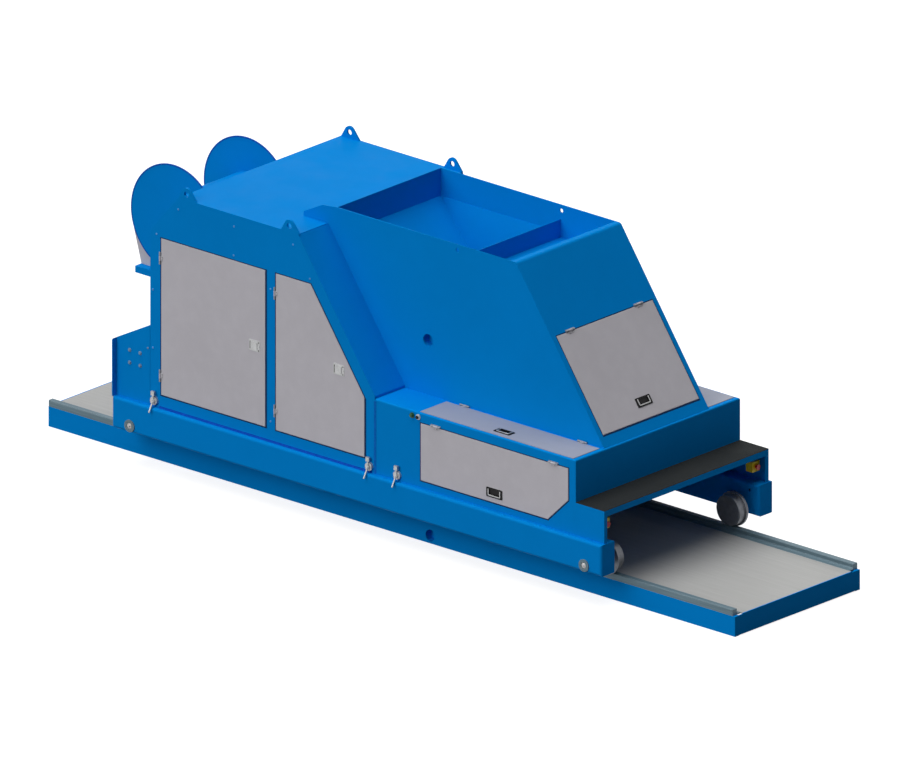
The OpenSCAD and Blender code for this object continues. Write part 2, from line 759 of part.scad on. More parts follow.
module cable_reel() color(blue)
    translate([reel_x, 0, reel_z]) rotate([90, 0, 0]) rotate_extrude($fn = 96) {
        inner = reel_half - disc_t;
        bore = shaft_r - 8;
        for (s = [-1, 1]) {
            translate([bore, s > 0 ? inner : -reel_half]) square([reel_r - bore, disc_t]);
            translate([bore, s > 0 ? reel_half - cut : -bracket_y - bracket_t])
                square([shaft_r - bore, bracket_y + bracket_t - reel_half + cut]);
        }
        translate([core_r - core_wall, -inner - cut]) square([core_wall, 2 * (inner + cut)]);
    }

// Hinges. Local frame: the axis is z, x points to the door, y points out of the skin, which is at y = -hinge_h.

module hinge_fixed(l) {
    gap = 0.5;
    mid = 0.2 * l;
    difference() {
        union() {
            translate([-hinge_foot, -hinge_h, -l / 2]) cube([hinge_foot, hinge_leaf, l]);
            translate([0, 0, -l / 2]) cylinder(r = knuckle_r, h = l);
        }
        translate([0, 0, -mid - gap]) cylinder(r = knuckle_r + gap, h = 2 * (mid + gap));
    }
    translate([0, 0, -l / 2]) cylinder(r = pin_r, h = l);
}

module hinge_moving(l) {
    mid = 0.2 * l;
    difference() {
        union() {
            translate([0, 0, -mid]) cylinder(r = knuckle_r, h = 2 * mid);
            translate([0, door_proud - hinge_h, -mid]) cube([hinge_back + 14, hinge_leaf, 2 * mid]);
        }
        translate([0, 0, -mid - cut]) cylinder(r = pin_r + pin_fit, h = 2 * (mid + cut));
    }
}

axis_y = body_half + hinge_h;
module hinge_on_door(x0, z) place([x0 - hinge_back, -axis_y, z], [1, 0, 0], [0, -1, 0]) children();
module hinge_on_side_hatch(x) place([x, -axis_y, side_z1 + hinge_back], [0, 0, -1], [0, -1, 0]) children();
module hinge_on_lid(x) place([x, -lid_y0 + hinge_back, deck_z + hinge_h], [0, -1, 0], [0, 0, 1]) children();
module hinge_on_front_hatch(y)
    place([slope_top, y, rim_z] + (hatch_top - hinge_back) * slope_down + (hinge_h + 0.02) * slope_n,
          slope_down, slope_n) children();

door_hinge_z = [door_z0 + 140, door_z1 - 147];
lid_hinge_x = [lid_x0 + 162, lid_x1 - 169];
hatch_hinge_y = [-hatch_half + 142.5, hatch_half - 142.5];

module panel_hinges() color([0.72, 0.73, 0.74]) {
    both_sides() {
        for (z = door_hinge_z) {
            hinge_on_door(door1_x0, z) hinge_fixed(hinge_l);
            hinge_on_door(door2_x0, z) hinge_fixed(hinge_l);
        }
        for (x = lid_hinge_x) {
            hinge_on_side_hatch(x) hinge_fixed(hinge_l);
            hinge_on_lid(x) hinge_fixed(hinge_l);
        }
    }
    for (y = hatch_hinge_y) hinge_on_front_hatch(y) hinge_fixed(hinge_l);
}

// Doors, lids and hatches. A pan has its outer face at y = 0 and its folded edge towards +y.

module pan(p) difference() {
    xz(0, pan_d) polygon(p);
    xz(pan_t, pan_d + cut) polygon(inset(p, pan_t));
}

// Recessed handle. Local frame: x along its long side, y out of the panel, which is at y = 0.
cup = [128, 22, 52];
module cup_cut() translate([-cup[0] / 2 - 0.5, -pan_t - cut, -cup[2] / 2 - 0.5]) cube([cup[0] + 1, pan_t + 2 * cut, cup[2] + 1]);
module cup_handle() color(black) {
    wall = 2;
    difference() {
        union() {
            xz(0, 3) rounded([-75, -35], [75, 35], 8);
            translate([-cup[0] / 2, -cup[1], -cup[2] / 2]) cube(cup);
        }
        translate([-cup[0] / 2 + wall, -cup[1] + wall, -cup[2] / 2 + wall])
            cube([cup[0] - 2 * wall, cup[1] + 5, cup[2] - 2 * wall]);
    }
    xz(-6, -3) rounded([-48, -14], [48, cup[2] / 2 - 1], 8);
}

// Paddle latch in the same local frame
module paddle_latch() color([0.72, 0.73, 0.74]) {
    xz(0, 3) rounded([-50, -40], [50, 40], 6);
    xz(3, 8) rounded([-34, -28], [26, 28], 5);
    rod_y(38, 0, 7, 3, 7);
}

module door(p, x0) color(grey) {
    translate([0, -door_y, 0]) pan(p);
    for (z = door_hinge_z) hinge_on_door(x0, z) hinge_moving(hinge_l);
}

module door_latch(x, z) place([x, -door_y, z], [1, 0, 0], [0, -1, 0]) paddle_latch();

latch1_z = (door_z0 + door_z1) / 2 - 2.5;
latch2_z = door2_z + 152;
module rear_door_right() door(door1_pts, door1_x0);
module rear_door_left() mirror([0, 1, 0]) door(door1_pts, door1_x0);
module front_door_right() door(door2_pts, door2_x0);
module front_door_left() mirror([0, 1, 0]) door(door2_pts, door2_x0);
module rear_latch_right() door_latch(door1_x1 - 97, latch1_z);
module rear_latch_left() mirror([0, 1, 0]) door_latch(door1_x1 - 97, latch1_z);
module front_latch_right() door_latch(door2_x1 - 236, latch2_z);
module front_latch_left() mirror([0, 1, 0]) door_latch(door2_x1 - 236, latch2_z);

hatch_handle = hatch_bottom - 122;
module front_hatch() color(grey) {
    difference() {
        on_slope() translate([0, -door_proud, 0]) pan(hatch_pts);
        on_slope() place([0, -door_proud, -hatch_handle], [-1, 0, 0], [0, -1, 0]) cup_cut();
    }
    for (y = hatch_hinge_y) hinge_on_front_hatch(y) hinge_moving(hinge_l);
}
module front_hatch_handle() on_slope() place([0, -door_proud, -hatch_handle], [-1, 0, 0], [0, -1, 0]) cup_handle();

lid_handle = [(lid_x0 + lid_x1) / 2, -(lid_y1 - 78), deck_z + door_proud];
module top_lid() color(grey) {
    difference() {
        translate([0, 0, deck_z + door_proud]) rotate([-90, 0, 0]) pan([for (q = lid_pts) q]);
        place(lid_handle, [1, 0, 0], [0, 0, 1]) cup_cut();
    }
    for (x = lid_hinge_x) hinge_on_lid(x) hinge_moving(hinge_l);
}
module top_lid_right() top_lid();
module top_lid_left() mirror([0, 1, 0]) top_lid();
module lid_handle_right() place(lid_handle, [1, 0, 0], [0, 0, 1]) cup_handle();
module lid_handle_left() mirror([0, 1, 0]) lid_handle_right();

side_handle = [(side_x0 + side_x1) / 2, -door_y, side_z0 + 69.5];
module side_hatch() color(grey) {
    difference() {
        translate([0, -door_y, 0]) pan(side_pts);
        place(side_handle, [-1, 0, 0], [0, -1, 0]) cup_cut();
    }
    for (x = lid_hinge_x) hinge_on_side_hatch(x) hinge_moving(hinge_l);
}
module side_hatch_right() side_hatch();
module side_hatch_left() mirror([0, 1, 0]) side_hatch();
module hatch_handle_right() place(side_handle, [-1, 0, 0], [0, -1, 0]) cup_handle();
module hatch_handle_left() mirror([0, 1, 0]) hatch_handle_right();

bed_side_beams();
bed_end_plates();
bed_cross_members();
bed_deck();
rails();
frame_beams();
frame_cross_members();
belly_plate();
axle_bearings();
rear_side_plates();
guide_shoes();
frame_clamps();
wheel_front_right();
wheel_front_left();
wheel_rear_right();
wheel_rear_left();
cabinet_skins();
cabinet_casings();
side_walls();
roof();
rear_wall();
lifting_lugs();
hopper_shell();
hopper_divider();
slope_panel();
lockers();
push_buttons();
front_panel();
step();
step_tread();
stop_boxes();
stop_buttons();
reel_shelf();
reel_guard();
cable_reel();
panel_hinges();
rear_door_right();
rear_door_left();
front_door_right();
front_door_left();
rear_latch_right();
rear_latch_left();
front_latch_right();
front_latch_left();
front_hatch();
front_hatch_handle();
top_lid_right();
top_lid_left();
lid_handle_right();
lid_handle_left();
side_hatch_right();
side_hatch_left();
hatch_handle_right();
hatch_handle_left();
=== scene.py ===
"""Looks of the hollow-core slab extruder on its casting bed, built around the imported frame.

Metres everywhere. +X is the end with the step, +Y the machine's left side, +Z up.
"""

import json
import math

import bmesh
import bpy
from mathutils import Matrix, Vector


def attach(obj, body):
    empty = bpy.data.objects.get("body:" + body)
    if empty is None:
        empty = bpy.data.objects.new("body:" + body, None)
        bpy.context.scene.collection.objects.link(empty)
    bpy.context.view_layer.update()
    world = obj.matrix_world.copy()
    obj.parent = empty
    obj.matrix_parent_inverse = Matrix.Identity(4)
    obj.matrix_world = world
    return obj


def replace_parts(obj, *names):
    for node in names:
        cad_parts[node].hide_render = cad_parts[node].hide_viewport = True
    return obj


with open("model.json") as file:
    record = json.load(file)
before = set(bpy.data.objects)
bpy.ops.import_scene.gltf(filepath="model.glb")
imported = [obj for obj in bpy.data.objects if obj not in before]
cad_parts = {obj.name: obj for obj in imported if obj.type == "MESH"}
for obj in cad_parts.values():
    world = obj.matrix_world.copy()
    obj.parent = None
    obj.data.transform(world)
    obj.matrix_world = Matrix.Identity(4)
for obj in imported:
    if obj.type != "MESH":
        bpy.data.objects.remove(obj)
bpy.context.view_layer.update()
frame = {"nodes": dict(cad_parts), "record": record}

# Outer faces, as distances from the middle plane
SKIN_Y = 0.855
DOOR_Y = 0.857
BEAM_Y = 0.895
WALL_Y = 0.545

# Heights
AXLE_Z = 0.3078
BEAM_TOP = 0.483
LOCKER_TOP = 1.045
ROOF_Z = 2.087

# Places along the machine
AXLES = (("front", 2.018), ("rear", -2.228))
CLAMPS = (-2.028, -0.020, 0.244)
HOPPER_REAR = -0.612

# The sloped front: its rim, the way down along it and the way out of it
SLOPE = math.radians(55)
RIM = Vector((1.067158, 0, 2.223))
DOWN = Vector((math.cos(SLOPE), 0, -math.sin(SLOPE)))
OUT = Vector((math.sin(SLOPE), 0, math.cos(SLOPE)))

# Door and hatch openings as (X, Z) points, anticlockwise from the lower rear corner
REAR_DOOR = [(-1.968, 0.590), (-0.998, 0.590), (-0.998, 1.747), (-1.968, 1.747)]
FRONT_DOOR = [(-0.897, 0.590), (-0.071, 0.590), (-0.071, 1.0279), (-0.57446, 1.747), (-0.897, 1.747)]
SIDE_HATCH = [(0.457, 0.548), (1.643, 0.548), (1.834, 0.733), (1.834, 0.968), (0.457, 0.968)]

# Hinges: heights on the doors, places along the lids and side hatches, distances from the middle of the front hatch
DOOR_HINGES_Z = (0.730, 1.600)
LOCKER_HINGES_X = (0.597, 1.697)
FRONT_HATCH_HINGES_Y = (-0.355, 0.355)

# Mirror image on the two sides: name and sign of Y
SIDES = (("right", -1), ("left", 1))

# Two points closer than this are one, and a point this close to a plane is on it
SAME = 1e-6
NEAR = 1e-5


# Camera

def add_camera():
    """A parallel view, as the photograph's, from the right and the front."""
    azimuth, elevation, distance = math.radians(41.92), math.radians(20), 20
    target = Vector((-0.0098, -0.0016, 0.9365))
    back = Vector((math.sin(azimuth) * math.cos(elevation), -math.cos(azimuth) * math.cos(elevation),
                   math.sin(elevation)))
    data = bpy.data.cameras.new("camera")
    data.type = "ORTHO"
    data.ortho_scale = 6.3
    camera = bpy.data.objects.new("camera", data)
    camera.location = target + back * distance
    camera.rotation_euler = back.to_track_quat("Z", "Y").to_euler()
    bpy.context.scene.collection.objects.link(camera)
    bpy.context.scene.camera = camera


# Materials

class Nodes:
    """A material's node tree with short calls for the nodes that the finishes use."""

    def __init__(self, name):
        self.material = bpy.data.materials.new(name)
        self.material.use_nodes = True
        self.tree = self.material.node_tree
        self.shader = self.tree.nodes["Principled BSDF"]

    def add(self, kind, **settings):
        node = self.tree.nodes.new(kind)
        for key, value in settings.items():
            setattr(node, key, value)
        return node

    def link(self, a, b):
        self.tree.links.new(a, b)

    def place(self, stretch):
        """Object coordinates, stretched so that a pattern runs along the part."""
        coords = self.add("ShaderNodeTexCoord")
        mapping = self.add("ShaderNodeMapping")
        mapping.inputs["Scale"].default_value = stretch
        self.link(coords.outputs["Object"], mapping.inputs["Vector"])
        return mapping.outputs["Vector"]

    def noise(self, scale, stretch=(1, 1, 1), detail=3, rough=0.5):
        node = self.add("ShaderNodeTexNoise")
        node.inputs["Scale"].default_value = scale
        node.inputs["Detail"].default_value = detail
        node.inputs["Roughness"].default_value = rough
        self.link(self.place(stretch), node.inputs["Vector"])
        return node.outputs["Fac"]

    def spread(self, value, low, high, a=0.3, b=0.7):
        """The value's range from a to b, spread from low to high."""
        node = self.add("ShaderNodeMapRange")
        node.inputs["From Min"].default_value = a
        node.inputs["From Max"].default_value = b
        node.inputs["To Min"].default_value = low
        node.inputs["To Max"].default_value = high
        self.link(value, node.inputs["Value"])
        return node.outputs["Result"]

    def put(self, socket, value):
        if isinstance(value, bpy.types.NodeSocket):
            self.link(value, socket)
        else:
            socket.default_value = value

    def mix_colour(self, factor, a, b):
        node = self.add("ShaderNodeMix", data_type="RGBA")
        factor_in, a_in, b_in, colour_out = 0, 6, 7, 2
        self.put(node.inputs[factor_in], factor)
        self.put(node.inputs[a_in], a)
        self.put(node.inputs[b_in], b)
        return node.outputs[colour_out]

    def scaled(self, value, factor):
        node = self.add("ShaderNodeMath", operation="MULTIPLY")
        self.link(value, node.inputs[0])
        node.inputs[1].default_value = factor
        return node.outputs[0]

    def edges(self, radius):
        """The rounded normal of the edges, and a mask that is 1 on them."""
        bevel = self.add("ShaderNodeBevel", samples=6)
        bevel.inputs["Radius"].default_value = radius
        geometry = self.add("ShaderNodeNewGeometry")
        dot = self.add("ShaderNodeVectorMath", operation="DOT_PRODUCT")
        self.link(bevel.outputs["Normal"], dot.inputs[0])
        self.link(geometry.outputs["Normal"], dot.inputs[1])
        return bevel.outputs["Normal"], self.spread(dot.outputs["Value"], 1, 0, 0.86, 0.995)

    def bump(self, height, strength, distance, normal=None):
        node = self.add("ShaderNodeBump")
        node.inputs["Strength"].default_value = strength
        node.inputs["Distance"].default_value = distance
        self.link(height, node.inputs["Height"])
        if normal is not None:
            self.link(normal, node.inputs["Normal"])
        self.link(node.outputs["Normal"], self.shader.inputs["Normal"])


def colour(r, g, b):
    """A colour as 0 to 255 screen values, made linear."""
    def linear(v):
        v /= 255
        return v / 12.92 if v <= 0.04045 else ((v + 0.055) / 1.055) ** 2.4
    return (linear(r), linear(g), linear(b), 1)


def sheet_paint(name, base, fade_and_highlight, rough=0.42, shine=0.25, edge=0.003, peel=0.06):
    """Spray paint on sheet steel: orange peel, slight cloudiness, a faint fade toward the second colour, and edges
    painted in that lighter colour as a painted highlight of the folds.
    """
    m = Nodes(name)
    cloud = m.spread(m.noise(1.3, detail=4), 0, 1)
    fine = m.spread(m.noise(9, detail=5, rough=0.6), 0, 1, 0.42, 0.72)
    tinted = m.mix_colour(cloud, base, tuple(c * 0.95 for c in base[:3]) + (1,))
    normal, edge_highlight = m.edges(edge)
    faded = m.mix_colour(m.scaled(fine, 0.12), tinted, fade_and_highlight)
    # Edges mixed half way toward the lighter colour: a painted highlight on the rounded folds.
    m.link(m.mix_colour(m.scaled(edge_highlight, 0.5), faded, fade_and_highlight), m.shader.inputs["Base Color"])
    m.link(m.spread(m.noise(5, detail=4), rough - 0.05, rough + 0.09), m.shader.inputs["Roughness"])
    m.shader.inputs["Specular IOR Level"].default_value = shine
    m.bump(m.noise(260, detail=1), peel, 0.002, normal)
    return m.material


def bare_steel(name, base, dark, rough, metal, stretch, scale=14, edge=0.002, grain=0.15):
    """Rolled or turned steel with streaks along its working direction, stains, and edges painted light grey as a
    painted highlight.
    """
    m = Nodes(name)
    streak = m.spread(m.noise(scale, stretch, detail=6, rough=0.65), 0, 1, 0.3, 0.75)
    stain = m.spread(m.noise(2.1, detail=5), 0, 1, 0.5, 0.75)
    normal, edge_highlight = m.edges(edge)
    streaked = m.mix_colour(m.scaled(streak, 0.55), base, dark)
    stained = m.mix_colour(m.scaled(stain, 0.35), streaked, dark)
    # Edges mixed toward light grey: a painted highlight.
    m.link(m.mix_colour(m.scaled(edge_highlight, 0.6), stained, colour(205, 208, 210)), m.shader.inputs["Base Color"])
    m.link(m.spread(streak, rough - 0.08, rough + 0.12, 0, 1), m.shader.inputs["Roughness"])
    m.shader.inputs["Metallic"].default_value = metal
    m.bump(m.noise(scale * 6, stretch, detail=3), grain, 0.001, normal)
    return m.material


def moulded(name, base, rough, shine=0.4, grain=0.12):
    """Moulded plastic and the dark strips and beads of painted shade: a fine grain, a faint mottle, and edges painted
    lighter as a painted highlight.
    """
    m = Nodes(name)
    mottle_and_highlight = tuple(min(1, c * 1.25 + 0.004) for c in base[:3]) + (1,)
    mottle = m.spread(m.noise(60, detail=3), 0, 1)
    normal, edge_highlight = m.edges(0.0015)
    # The lighter colour serves the mottle and, half way on the edges, a painted highlight.
    m.link(m.mix_colour(m.scaled(edge_highlight, 0.5), m.mix_colour(mottle, base, mottle_and_highlight), mottle_and_highlight),
           m.shader.inputs["Base Color"])
    m.shader.inputs["Roughness"].default_value = rough
    m.shader.inputs["Specular IOR Level"].default_value = shine
    m.bump(m.noise(900, detail=1), grain, 0.0006, normal)
    return m.material


def step_tread_grip(name):
    """Black anti-slip tread: coarse grit, grey where feet rub it."""
    m = Nodes(name)
    grit = m.noise(170, detail=4, rough=0.7)
    rubbed = m.spread(m.noise(3.5, (1, 0.6, 1), detail=4), 0, 1, 0.4, 0.7)
    speck = m.spread(grit, 0, 1, 0.5, 0.72)
    base = m.mix_colour(speck, colour(18, 22, 23), colour(42, 46, 47))
    m.link(m.mix_colour(m.scaled(rubbed, 0.25), base, colour(50, 52, 51)), m.shader.inputs["Base Color"])
    m.shader.inputs["Roughness"].default_value = 0.85
    m.shader.inputs["Specular IOR Level"].default_value = 0.2
    m.bump(grit, 0.8, 0.003)
    return m.material


def make_materials():
    """Every finish by name, made from its kind, its colours and the values that differ from the kind's own."""
    table = {
        # For sheet paint the second colour is both a faded tone and the painted highlight along the edges; the grey
        # panels' wider edge widens that painted highlight on their folds.
        "blue_paint": (sheet_paint, colour(0, 136, 220), colour(0, 146, 232), 0.5, 0.02),
        "grey_panel": (sheet_paint, colour(200, 197, 204), colour(228, 226, 232), 0.5, 0.2, 0.006),
        # Bluish grey, darker than the door panels: a painted reflection of the sky on the lids.
        "lid_paint": (sheet_paint, colour(160, 164, 178), colour(176, 180, 194), 0.45, 0.15),
        "deck_steel": (bare_steel, colour(171, 171, 169), colour(158, 158, 155), 0.6, 0.08, (0.12, 3, 1), 14, 0.002,
                       0.06),
        "rail_steel": (bare_steel, colour(100, 125, 135), colour(60, 79, 91), 0.5, 0.25, (0.2, 8, 8)),
        "wheel_steel": (bare_steel, colour(128, 131, 138), colour(74, 77, 82), 0.4, 0.45, (1, 1, 1), 30),
        "fitting_steel": (bare_steel, colour(196, 197, 198), colour(140, 140, 139), 0.4, 0.5, (1, 1, 1), 40, 0.001),
        "hinge_steel": (bare_steel, colour(150, 154, 162), colour(112, 118, 126), 0.45, 0.3, (1, 1, 1), 40, 0.001),
        "bolt_paint": (sheet_paint, colour(120, 150, 182), colour(150, 175, 200), 0.45, 0.2, 0.001),
        "screw_paint": (sheet_paint, colour(84, 158, 224), colour(160, 196, 226), 0.4, 0.3, 0.001),
        "black_grip": (step_tread_grip,),
        "black_plastic": (moulded, colour(12, 12, 14), 0.5, 0.15),
        # Dark blue: the painted shadow in the door and hatch gaps.
        "dark_rubber": (moulded, colour(10, 46, 88), 0.7, 0.1),
        # Shaded blue: the painted shade in the corner joint of cabinet and beam.
        "blue_sealant": (moulded, colour(0, 70, 168), 0.7, 0.05),
        # Shaded blue: the painted shade of the seam between cabinet and locker.
        "seam_sealant": (moulded, colour(0, 99, 185), 0.7, 0.05),
        # Darker blue: the painted shade on the reel discs' rims.
        "blue_edging": (moulded, colour(0, 84, 176), 0.6, 0.1),
        "red_plastic": (moulded, colour(196, 22, 28), 0.3),
        "yellow_plastic": (moulded, colour(226, 196, 30), 0.38),
        "green_plastic": (moulded, colour(12, 74, 38), 0.35),
    }
    return {name: make(name, *values) for name, (make, *values) in table.items()}


# Shapes. Each starts as a bmesh around its own z axis and is then set in place.

def to_place(origin, z):
    """The matrix that puts a shape's z axis along z at origin."""
    z = Vector(z).normalized()
    up = Vector((0, 0, 1)) if abs(z.z) < 0.9 else Vector((1, 0, 0))
    y = z.cross(up).normalized()
    return framed(y.cross(z), y, z, origin)


def framed(x, y, z, origin):
    """The matrix with these axes at origin."""
    matrix = Matrix((x, y, z)).transposed().to_4x4()
    matrix.translation = Vector(origin)
    return matrix


def on_side(s, x, y, z):
    """A place on the right side (s = -1) or its mirror image on the left."""
    return (x, s * y, z)


def upright(s, x, y, z):
    """The matrix that stands a shape's x-y plane up as X-Z on a side, with its z axis outwards."""
    return framed((1, 0, 0), (0, 0, 1), (0, s, 0), on_side(s, x, y, z))


def turned(profile, steps=32):
    """A solid of revolution about z from (radius, height) points; it closes at the axis."""
    bm = bmesh.new()
    points = [bm.verts.new((r, 0, h)) for r, h in profile]
    edges = [bm.edges.new(pair) for pair in zip(points, points[1:])]
    bmesh.ops.spin(bm, geom=points + edges, cent=(0, 0, 0), axis=(0, 0, 1), angle=math.tau, steps=steps,
                   use_merge=True)
    bmesh.ops.remove_doubles(bm, verts=bm.verts, dist=SAME)
    bmesh.ops.recalc_face_normals(bm, faces=bm.faces)
    return bm


def slab(outline, thickness, edge=0.0, segments=2):
    """A plate from an outline in the x-y plane, raised along z, with its upper edge bevelled."""
    bm = bmesh.new()
    face = bm.faces.new([bm.verts.new((x, y, 0)) for x, y in outline])
    raise_faces(bm, [face], thickness)
    bmesh.ops.recalc_face_normals(bm, faces=bm.faces)
    if edge:
        rim = [e for e in bm.edges if all(abs(v.co.z - thickness) < 1e-7 for v in e.verts)]
        bmesh.ops.bevel(bm, geom=rim, offset=edge, offset_type="OFFSET", affect="EDGES", segments=segments,
                        profile=0.5, material=-1)
    return bm


def raise_faces(bm, faces, height):
    """Extrudes flat faces along z."""
    made = bmesh.ops.extrude_face_region(bm, geom=faces)
    top = [v for v in made["geom"] if isinstance(v, bmesh.types.BMVert)]
    bmesh.ops.translate(bm, verts=top, vec=(0, 0, height))


def ring(inner, outer, depth):
    """A flat frame between two outlines of as many points, raised along z."""
    bm = bmesh.new()
    inside, outside = [[bm.verts.new((x, y, 0)) for x, y in outline] for outline in (inner, outer)]
    n = len(inside)
    for i in range(n):
        bm.faces.new((inside[i], inside[(i + 1) % n], outside[(i + 1) % n], outside[i]))
    raise_faces(bm, list(bm.faces), depth)
    return bm


def rectangle(width, height, radius, steps):
    """The outline of a rounded rectangle about the origin."""
    points = []
    for i, (sx, sy) in enumerate(((1, 1), (-1, 1), (-1, -1), (1, -1))):
        for k in range(steps + 1):
            angle = math.radians(90 * (i + k / steps))
            points.append((sx * (width / 2 - radius) + radius * math.cos(angle),
                           sy * (height / 2 - radius) + radius * math.sin(angle)))
    return points


def grown(outline, widths):
    """An anticlockwise outline moved outwards, each side by its own width."""
    lines = []
    for (ax, az), (bx, bz), width in zip(outline, outline[1:] + outline[:1], widths):
        length = math.hypot(bx - ax, bz - az)
        nx, nz = (bz - az) / length, (ax - bx) / length
        lines.append((nx, nz, nx * ax + nz * az + width))
    points = []
    for (a, b, c), (d, e, f) in zip(lines[-1:] + lines[:-1], lines):
        det = a * e - b * d
        points.append(((c * e - b * f) / det, (a * f - c * d) / det))
    return points


def joined(shapes):
    """One bmesh from several (bmesh, matrix) pairs."""
    whole = bmesh.new()
    for bm, matrix in shapes:
        bmesh.ops.transform(bm, matrix=matrix, verts=bm.verts)
        mesh = bpy.data.meshes.new("part")
        bm.to_mesh(mesh)
        bm.free()
        whole.from_mesh(mesh)
        bpy.data.meshes.remove(mesh)
    return whole


def piece(name, bm, finish, body):
    """Makes an object of the bmesh, gives it its finish and lets it ride on its body."""
    bmesh.ops.recalc_face_normals(bm, faces=bm.faces)
    mesh = bpy.data.meshes.new(name)
    bm.to_mesh(mesh)
    bm.free()
    for polygon in mesh.polygons:
        polygon.use_smooth = True
    mesh.set_sharp_from_angle(angle=math.radians(35))
    mesh.materials.append(finishes[finish])
    made = bpy.data.objects.new(name, mesh)
    bpy.context.scene.collection.objects.link(made)
    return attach(made, body)


# Fittings

def button_head():
    """A domed screw head with a hexagon socket."""
    r, height = 0.008, 0.0045
    return turned([(0, height * 0.35), (r * 0.38, height * 0.35), (r * 0.42, height), (r * 0.7, height * 0.9),
                   (r * 0.92, height * 0.55), (r, 0.0004), (r, 0), (0, 0)], 24)


def hex_bolt(across=0.019, head=0.0075, washer=0.0145):
    """A hexagon head on its washer."""
    plate_t = 0.0022
    plate = turned([(0, plate_t), (washer - 0.0005, plate_t), (washer, 0.0016), (washer, 0), (0, 0)], 28)
    r = across / math.sqrt(3)
    corners = [math.radians(60 * i) for i in range(6)]
    hexagon = slab([(r * math.cos(a), r * math.sin(a)) for a in corners], head, 0.0012, 1)
    return joined([(plate, Matrix()), (hexagon, Matrix.Translation((0, 0, plate_t)))])


def countersunk_screw():
    """The head of a hinge screw."""
    return turned([(0, 0.0006), (0.0012, 0.0006), (0.0035, 0.0012), (0.0036, 0), (0, 0)], 16)


def add_cabinet_screws():
    """Screws along the upper fold, over the doors and on the posts of the cabinet skins."""
    places = [(-1.810, 2.000), (-1.289, 2.000), (-0.738, 2.000), (-2.013, 1.770), (-1.293, 1.785), (-0.580, 1.785),
              (-2.048, 0.920), (-2.048, 1.350), (-0.948, 1.620), (-0.948, 0.640)]
    for side, s in SIDES:
        shapes = [(button_head(), to_place(on_side(s, x, SKIN_Y, z), (0, s, 0))) for x, z in places]
        piece("cabinet_screws_" + side, joined(shapes), "screw_paint", "machine")


def add_rear_plate_bolts():
    """Four bolts and a screw on each rear side plate."""
    for side, s in SIDES:
        shapes = [(hex_bolt(), to_place(on_side(s, x, SKIN_Y, z), (0, s, 0)))
                  for x in (-2.264, -2.166) for z in (0.757, 0.850)]
        shapes.append((button_head(), to_place(on_side(s, -2.095, SKIN_Y, 0.905), (0, s, 0))))
        piece("rear_plate_bolts_" + side, joined(shapes), "bolt_paint", "machine")


def add_axle_caps():
    """Closing plate and centre bolt on each axle end."""
    cap_t = 0.0035
    for name, x in AXLES:
        for side, s in SIDES:
            place = to_place(on_side(s, x, BEAM_Y + 0.004, AXLE_Z), (0, s, 0))
            cap = turned([(0, cap_t), (0.018, cap_t), (0.0195, 0.0025), (0.0205, 0), (0, 0)], 40)
            bolt = hex_bolt(0.017, 0.0065, 0.0125)
            piece("axle_cap_%s_%s" % (name, side),
                  joined([(cap, place), (bolt, place @ Matrix.Translation((0, 0, cap_t)))]),
                  "fitting_steel", "wheel_%s_%s" % (name, side))


def add_latch_details():
    """Black slit and two screws on each paddle latch."""
    for row, x, z in (("rear", -1.095, 1.166), ("front", -0.307, 1.180)):
        for side, s in SIDES:
            base = upright(s, x, DOOR_Y + 0.003, z)
            slit = slab(rectangle(0.007, 0.058, 0.002, 2), 0.0012)
            shapes = [(slit, base @ Matrix.Translation((-0.040, 0, 0)))]
            for dz in (-0.029, 0.029):
                shapes.append((slab(rectangle(0.009, 0.009, 0.004, 4), 0.0016, 0.0004, 1),
                               base @ Matrix.Translation((0.039, dz, 0))))
            piece("%s_latch_dark_%s" % (row, side), joined(shapes), "black_plastic", "%s_door_%s" % (row, side))


def bail():
    """The U-shaped pull of a recessed handle, open at its upper side."""
    w, h, b = 0.116 / 2, 0.050 / 2, 0.0075
    outline = [(-w, h), (-w, -h + b), (-w + b * 0.4, -h + b * 0.3), (-w + b, -h), (w - b, -h),
               (w - b * 0.4, -h + b * 0.3), (w, -h + b), (w, h), (w - b, h), (w - b, -h + b * 1.2),
               (w - b * 1.3, -h + b), (-w + b * 1.3, -h + b), (-w + b, -h + b * 1.2), (-w + b, h)]
    return slab(outline, 0.004, 0.0012, 2)


def add_bails():
    """Steel pull in each recessed handle."""
    face, lift = 0.002, 0.003
    handles = [("front_hatch", RIM + DOWN * 1.224 + OUT * face, OUT, -DOWN)]
    for side, s in SIDES:
        handles.append(("top_lid_" + side, Vector((1.1505, s * 0.760, LOCKER_TOP + face)), Vector((0, 0, 1)),
                        Vector((0, -s, 0))))
    for side, s in SIDES:
        handles.append(("side_hatch_" + side, Vector((1.1455, s * DOOR_Y, 0.6175)), Vector((0, s, 0)),
                        Vector((0, 0, 1))))
    for body, centre, out, up in handles:
        place = framed(up.cross(out), up, out, centre + out * lift)
        piece(body + "_bail", joined([(bail(), place)]), "fitting_steel", body)


